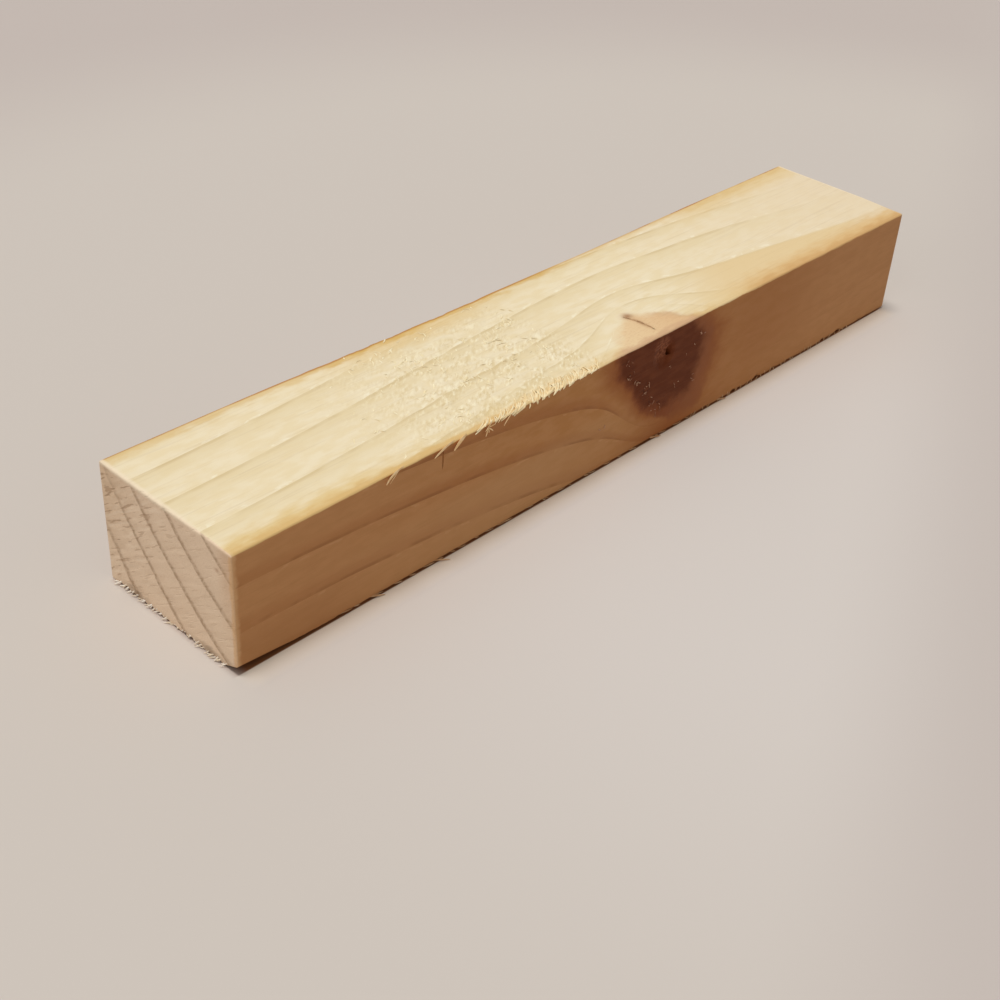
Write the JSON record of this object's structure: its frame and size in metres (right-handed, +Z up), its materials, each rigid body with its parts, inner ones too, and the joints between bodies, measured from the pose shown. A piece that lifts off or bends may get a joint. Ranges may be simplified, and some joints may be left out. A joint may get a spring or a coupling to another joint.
{
  "type": "wooden strip",
  "caption": "Short planed softwood strip of rectangular section with sawn ends and an ingrown knot, used as a spacer, packer or small batten on a bench.",
  "frame": {"origin": "middle of the strip's box on its underside, where it rests on the bench", "axes": "+X along the strip from the ragged sawn end to the other, +Y across its width from the knot's side to the plain side, +Z up through its thickness"},
  "size_m": [0.15, 0.027, 0.019],
  "materials": {
    "softwood": "bare planed pine, woolly where the grain tore, aged to orange-tan on the uncut sides"
  },
  "bodies": {
    "root": {"wooden_strip": "softwood"}
  },
  "joints": []
}
